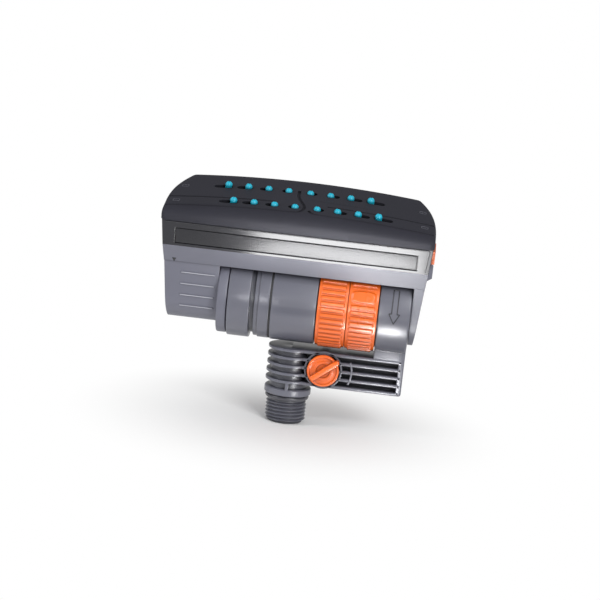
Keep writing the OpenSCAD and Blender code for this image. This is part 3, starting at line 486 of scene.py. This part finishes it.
# Seen from above the lid has a straight front and back and ends that are arcs of end_r about end_y
angle = np.linspace(0, np.arcsin((lid_back - end_y) / end_r), 13)
end = np.stack([lid_half - end_r + end_r * np.cos(angle), end_y + end_r * np.sin(angle)], 1)
plan = np.concatenate([[(lid_half, lid_front)], end, (end * [-1, 1])[::-1], [(-lid_half, lid_front)]])
rounding = np.array([2.5] + [1.0] * 12 + [2.0, 2.0] + [1.0] * 12 + [2.5])
plan = evened(eased(plan, rounding, steps=6), count=320, closed=True)


def crown(x):
    """The crown's height over x: crown_z less x * x / (2 * crown_r)."""
    return crown_z - x ** 2 / (2 * crown_r)


def lid_ring(near, away, height):
    """The plan drawn in by near at the front and by away at the back and the ends, at a height between 0 on
    the rim and 1 on the crown."""
    x = plan[:, 0] * (1 - away / lid_half)
    y = lid_front + near + (plan[:, 1] - lid_front) * (1 - (near + away) / (lid_back - lid_front))
    return np.stack([x, y, rim_z + (crown(x) - rim_z) * height], 1)


# The front edge is a long roll, 7.5 mm deep and about 6 mm down, and the back and the ends turn over within
# 1.5 mm. Below, the lid is hollow to half its height, within a rim 4.6 mm wide
under = [lid_ring(inset, inset, height)
         for inset, height in ((24.9, 0.52), (12, 0.52), (7, 0.52), (5, 0.5), (4.6, 0.0))]
rim = [lid_ring(0.35, 0.35, 0.0), lid_ring(0.0, 0.0, 0.05)]
roll = [lid_ring(roll_front * (1 - np.cos(t)), roll_back * (1 - np.cos(t)),
                 1 - roll_height * (1 - np.sin(t))) for t in np.linspace(0, np.pi / 2, 12)]
top = [lid_ring(roll_front + top_front * t, roll_back + top_back * t, 1.0)
       for t in (0.12, 0.28, 0.5, 0.75, 0.99)]
lid = make("lid", [(on_head(np.array(under + rim + roll + top)), False)],
           lid_abs, "head", "lid_dark", "nozzle_lid")

# Nozzle places: two rows, half a pitch out of step; rank 1 is nearest the middle
jet_pitch, first_jet, out_of_step, row_y, lean_step = 10.3, 5.55, 2.55, 10.7, 5
stem_top, slot_r, slot_play, slot_z0, slot_z1 = 14.0, 2.05, 0.2, 47.0, 55.0
rank = np.array([4, 3, 2, 1, 1, 2, 3, 4])
way = np.array([-1, -1, -1, -1, 1, 1, 1, 1])
places = [(row, i, way[i] * (first_jet + jet_pitch * (rank[i] - 1)) - out_of_step * row)
          for row in (1, -1) for i in range(8)]
reach = stem_top * np.tan(np.radians(lean_step * rank)) + slot_play
angle = np.linspace(0, 2 * np.pi, 32, endpoint=False)
cuts = []
for row, i, x in places:
    # Slot: a round-ended outline, stretched towards the outside by the nozzle's reach
    stretch = np.where(np.cos(angle) * way[i] > 0, reach[i] * way[i], 0)
    slot_x, slot_y = x + slot_r * np.cos(angle) + stretch, row * row_y + slot_r * np.sin(angle)
    slot = np.stack([np.stack([slot_x, slot_y, 0 * angle + height], 1) for height in (slot_z0, slot_z1)])
    cuts.append((on_head(slot), False))


def on_lid(path):
    """(x, y) on the crown, with the crown's normal (x / crown_r, 0, 1)."""
    x, y = path.T
    normal = np.stack([x / crown_r, 0 * x, 1 + 0 * x], 1)
    return on_head(np.stack([x, y, crown(x)], 1)), about_x(normal, lean)


def groove(points, count):
    """A path in even steps along a line, smoothed: twelve times each inner point becomes half itself and a
    quarter of either neighbour."""
    path = evened(points, count, closed=False)
    for _ in range(12):
        path[1:-1] = (path[:-2] + 2 * path[1:-1] + path[2:]) / 4
    return path


cut_r, cut_x, cut_y = 0.8, 67, -17.0
grooves = [groove([(-cut_x, cut_y), (-7, cut_y), (0, -16.5), (1.6, -13), (1.6, -8), (-1.5, 0), (-2.7, 5),
                   (-2.7, 13)], 120),
           groove([(cut_x, cut_y), (8, cut_y), (4.6, -16.2), (4.0, -13.5)], 90),
           groove([(-cut_x, -5.4), (-13, -5.4)], 40),
           groove([(cut_x, -5.0), (13, -5.0)], 40)]
cuts += [(bead(path, cut_r, on_lid, closed=False), False) for path in grooves]
cutter = make("lid_cutter", cuts, lid_abs, "head", "lid_dark")
boolean = lid.modifiers.new("slots", "BOOLEAN")
boolean.operation, boolean.solver, boolean.object = "DIFFERENCE", "EXACT", cutter
boolean.use_self = True
opened = bpy.data.meshes.new_from_object(lid.evaluated_get(bpy.context.evaluated_depsgraph_get()))
lid.modifiers.clear()
lid.data = opened
opened.shade_smooth()
opened.set_sharp_from_angle(angle=np.radians(35))
bpy.data.objects.remove(cutter)

# Small raised frames at the ends of the rows mark the spray's width
mark_half_x, mark_half_y, mark_r = 1.6, 1.2, 0.14
for k, (x, y) in enumerate(((-61, 10.1), (-62.6, -11.0), (60.8, 10.1), (62.4, -10.0))):
    outline = rect(x - mark_half_x, y - mark_half_y, x + mark_half_x, y + mark_half_y, radius=0.3)
    make(f"width_mark_{k + 1}", [(bead(outline, mark_r, on_lid, closed=True), True)],
         grey_abs, "head", "lid_dark")


# Nozzles
# Jets of soft TPE: a ball foot in the manifold, a stem and a domed tip with a fine hole. Each is pressed in
# from above and leans about its ball when the cam plate under the lid slides.
ball_z, ball_r, stem_foot, stem_r = 39.0, 2.8, 3.4, 1.75
dome_z, dome_height, dome_r, hole_r, hole_z0, hole_z1 = 14.3, 1.95, 1.85, 0.42, -2.5, 15.6
# Teal TPE, as moulded: an even, bright colour under a dull, soft sheen
teal_tpe = moulded("teal_tpe", "#10a9c6", "#1bbcd8", rough=0.4, grain=0.4, depth=0.004, edge=0.15)
ball, dome = np.radians(np.linspace(-80, 50, 10)), np.radians(np.linspace(0, 78, 9))
jet = np.concatenate([np.stack([ball_r * np.sin(ball), ball_r * np.cos(ball)], 1),
                      [(stem_foot, stem_r), (stem_top, stem_r)],
                      np.stack([dome_z + dome_height * np.sin(dome), dome_r * np.cos(dome)], 1),
                      [(hole_z1, hole_r), (hole_z0, hole_r)]])
for row, i, x in places:
    name = f"nozzle_{'back' if row > 0 else 'front'}_{i + 1}"
    make(name + "_jet", [(on_head(turned(jet, (x, row * row_y, ball_z), "z", count=40)), True)],
         teal_tpe, name, "teal_elastomer", name)


# Width slider and inner pieces
# These are shown as modelled. The orange slider is on the head's right end; filter, gears, plates and the
# water box are inside and seen only through gaps. All are moulded but for the steel pins, shaft and screws.
# Acetal in its natural colour: milky white with a soft gloss
natural_acetal = moulded("natural_acetal", "#d6d6cf", "#dedfd8", rough=0.4, grain=0.5, depth=0.004)
# Nylon dyed black: a dull sheen
black_nylon = moulded("black_nylon", "#1d1d20", "#242428", rough=0.5, grain=0.4, depth=0.006)
# Drawn steel: bright, and a little blurred
drawn_steel = moulded("drawn_steel", "#b2b4b8", "#bcbec2", rough=0.3, grain=0.3, depth=0.002)
drawn_steel.node_tree.nodes["Principled BSDF"].inputs["Metallic"].default_value = 1.0
inner = {orange_abs: ["width_slider"], black_rubber: ["valve_seal", "manifold_gasket"],
         drawn_steel: ["gear_pins", "turbine_shaft", "manifold_screws"],
         black_nylon: ["manifold", "manifold_cover", "fan_plate", "feed_elbow"],
         natural_acetal: ["inlet_filter", "valve_plug", "gear_plate_left", "gear_plate_right",
                          "turbine_guide", "turbine_wheel", "first_gear", "second_gear", "output_pinion",
                          "output_gear", "reversing_flap"]}
for finish, nodes in inner.items():
    for node in nodes:
        dress(node, finish)


# Studio
# A long lens a little above the drum, rolled as the photograph is, over white paper. Two soft boxes and a
# white sky light the object. Cards and flags that show only in gloss shape its highlights. Sizes are in
# metres.
azimuth, elevation, camera_roll = np.radians(2.88), np.radians(10.88), np.radians(6.256)
target, distance = np.array([0, 0, 0.0613]), 0.9632
level = np.cos(elevation)
look = np.array([-np.sin(azimuth) * level, np.cos(azimuth) * level, -np.sin(elevation)])
right = np.cross(look, [0, 0, 1.0])
right /= np.linalg.norm(right)
up = np.cross(right, look)
pose = np.eye(4)
pose[:3, 0] = right * np.cos(camera_roll) + up * np.sin(camera_roll)
pose[:3, 1] = up * np.cos(camera_roll) - right * np.sin(camera_roll)
pose[:3, 2] = -look
pose[:3, 3] = target - distance * look
lens = bpy.data.cameras.new("camera")
lens.sensor_width, lens.lens = 36.0, 112.06
lens.shift_x, lens.shift_y = 0.0054, 0.00725
camera = bpy.data.objects.new("camera", lens)
bpy.context.scene.collection.objects.link(camera)
camera.matrix_world = Matrix(pose.tolist())
bpy.context.scene.camera = camera

# White paper on the table that sweeps up behind: z = sweep_rise * (1 - cos) over the last metre
paper_half, paper_drop, sweep_y, sweep_rise = 30.0, 0.0004, 1.5, 0.5
y = np.concatenate([[-paper_half], np.linspace(sweep_y, sweep_y + 1, 17)])[:, None]
rise = sweep_rise * (1 - np.cos(np.pi / 2 * np.clip(y - sweep_y, 0, 1))) - paper_drop
sheet = np.stack(np.broadcast_arrays(np.array([-paper_half, paper_half]), y, rise), -1)
faces = [(2 * i, 2 * i + 1, 2 * i + 3, 2 * i + 2) for i in range(len(y) - 1)]
ground = bpy.data.meshes.new("paper_sweep")
ground.from_pydata(sheet.reshape(-1, 3).tolist(), [], faces)
ground.shade_smooth()
floor = bpy.data.objects.new("paper_sweep", ground)
bpy.context.scene.collection.objects.link(floor)
# Matte paper. Seen straight or mirrored it is plain white from 0.12 m out, and near the thread it shows its
# own shading
paper = bpy.data.materials.new("white_paper")
paper.use_nodes = True
tree = paper.node_tree
lit = tree.nodes["Principled BSDF"]
lit.inputs["Base Color"].default_value = linear("#f7f7f7")
lit.inputs["Roughness"].default_value = 0.9
path = add(tree, "ShaderNodeLightPath").outputs
seen = {0: path["Is Camera Ray"], 1: path["Is Glossy Ray"]}
seen = {0: add(tree, "ShaderNodeMath", seen, operation="MAXIMUM").outputs[0], 1: path["Is Transmission Ray"]}
seen = add(tree, "ShaderNodeMath", seen, operation="MAXIMUM").outputs[0]
place = add(tree, "ShaderNodeTexCoord").outputs["Object"]
away = add(tree, "ShaderNodeVectorMath", {0: place}, operation="LENGTH").outputs["Value"]
spread = {"Value": away, "From Min": 0.01, "From Max": 0.12}
spread = add(tree, "ShaderNodeMapRange", spread, interpolation_type="SMOOTHSTEP").outputs[0]
share = add(tree, "ShaderNodeMath", {0: seen, 1: spread}, operation="MULTIPLY").outputs[0]
white = add(tree, "ShaderNodeEmission", {"Color": (1, 1, 1, 1), "Strength": 1.0}).outputs[0]
both = add(tree, "ShaderNodeMixShader", {0: share, 1: lit.outputs[0], 2: white}).outputs[0]
tree.links.new(both, tree.nodes["Material Output"].inputs["Surface"])
ground.materials.append(paper)

world = bpy.data.worlds.new("studio")
bpy.context.scene.world = world
world.use_nodes = True
world.node_tree.nodes["Background"].inputs["Color"].default_value = (1, 1, 1, 1)
world.node_tree.nodes["Background"].inputs["Strength"].default_value = 0.4


def soft_box(name, place, size, power, aim=(0, 0, 0.065)):
    """A rectangular area lamp at place that faces aim, the drum unless given; power is in watts. Its z runs
    from aim to lamp; x is square to that and to the vertical, or to the front if it faces straight up."""
    lamp = bpy.data.lights.new(name, "AREA")
    lamp.shape, lamp.energy = "RECTANGLE", power
    lamp.size, lamp.size_y = size
    holder = bpy.data.objects.new(name, lamp)
    bpy.context.scene.collection.objects.link(holder)
    z = np.array(place) - aim
    z /= np.linalg.norm(z)
    x = np.cross([0, -1.0, 0] if abs(z[2]) > 0.99 else [0, 0, 1.0], z)
    x /= np.linalg.norm(x)
    turn = np.eye(4)
    turn[:3, :3], turn[:3, 3] = np.stack([x, np.cross(z, x), z], 1), place
    holder.matrix_world = Matrix(turn.tolist())
    holder.visible_camera = False
    return holder


soft_box("key_box", place=(0.5, -0.9, 0.6), size=(0.5, 0.5), power=9.0)
soft_box("left_box", place=(-0.8, -0.4, 0.5), size=(0.3, 0.6), power=3.0)
# Glowing cards that face up show only as highlights: on the panel's right half, and low on chamber and drum
cards = {"panel_card": ((0.018, -0.088, 0.062), (0.092, 0.085), 0.5),
         "chamber_card": ((0.048, -0.066, 0.003), (0.024, 0.03), 0.13),
         "drum_card": ((-0.04, -0.045, 0.003), (0.16, 0.09), 0.035)}
for name, (place, size, power) in cards.items():
    soft_box(name, place, size, power, aim=(*place[:2], 1.0)).visible_diffuse = False

# Two matte black flags before the drum and the chamber keep the white floor out of their middle; they too
# show only in gloss
flag_y, flag_z0, flag_z1 = -0.043, 0.042, 0.068
black_card = bpy.data.materials.new("black_card")
black_card.use_nodes = True
black_card.node_tree.nodes["Principled BSDF"].inputs["Base Color"].default_value = linear("#2a2a2e")
black_card.node_tree.nodes["Principled BSDF"].inputs["Roughness"].default_value = 0.9
for name, x0, x1 in (("drum_flag", -0.014, 0.012), ("chamber_flag", 0.041, 0.064)):
    sheet = bpy.data.meshes.new(name)
    corners = [(x, flag_y, z) for x, z in ((x0, flag_z0), (x1, flag_z0), (x1, flag_z1), (x0, flag_z1))]
    sheet.from_pydata(corners, [], [(0, 1, 2, 3)])
    sheet.materials.append(black_card)
    flag = bpy.data.objects.new(name, sheet)
    bpy.context.scene.collection.objects.link(flag)
    flag.visible_camera = flag.visible_diffuse = flag.visible_shadow = False

bpy.context.scene.view_settings.view_transform = "Standard"
